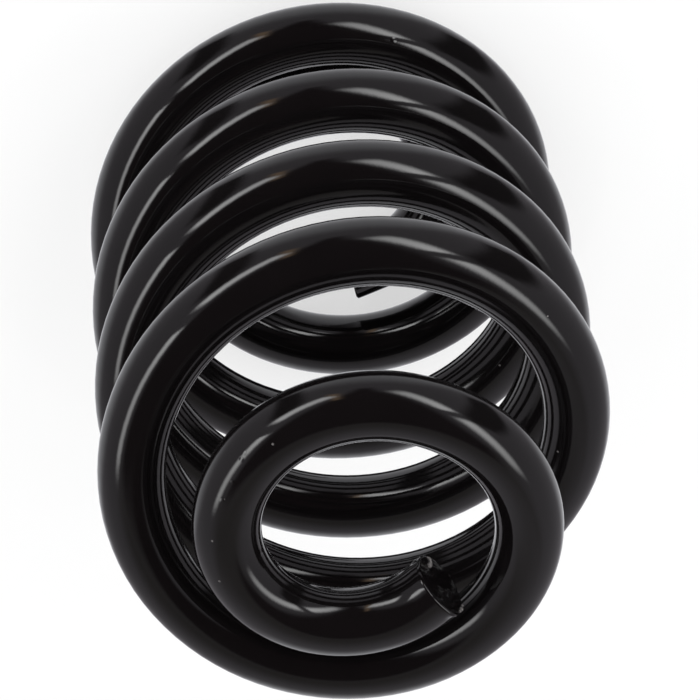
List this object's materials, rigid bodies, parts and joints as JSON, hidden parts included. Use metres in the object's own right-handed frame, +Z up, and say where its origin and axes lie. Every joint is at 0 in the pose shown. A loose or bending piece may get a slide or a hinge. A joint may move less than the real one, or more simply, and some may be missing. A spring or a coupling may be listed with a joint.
{
  "type": "suspension coil spring",
  "caption": "Helical compression spring of thick round wire: wide open coils that narrow to a small flat ring at each end, in a glossy black coat.",
  "frame": {"origin": "on the spring's axis, at the centre of the coils' box, at the level that the lower end ring stands on", "axes": "+Z up along the spring's axis, from the lower end ring to the upper one; +X and +Y level"},
  "size_m": [0.122, 0.122, 0.171],
  "materials": {
    "coated_wire": "gloss black coat over spring steel"
  },
  "bodies": {
    "root": {"coil_spring": "coated_wire"}
  },
  "joints": []
}
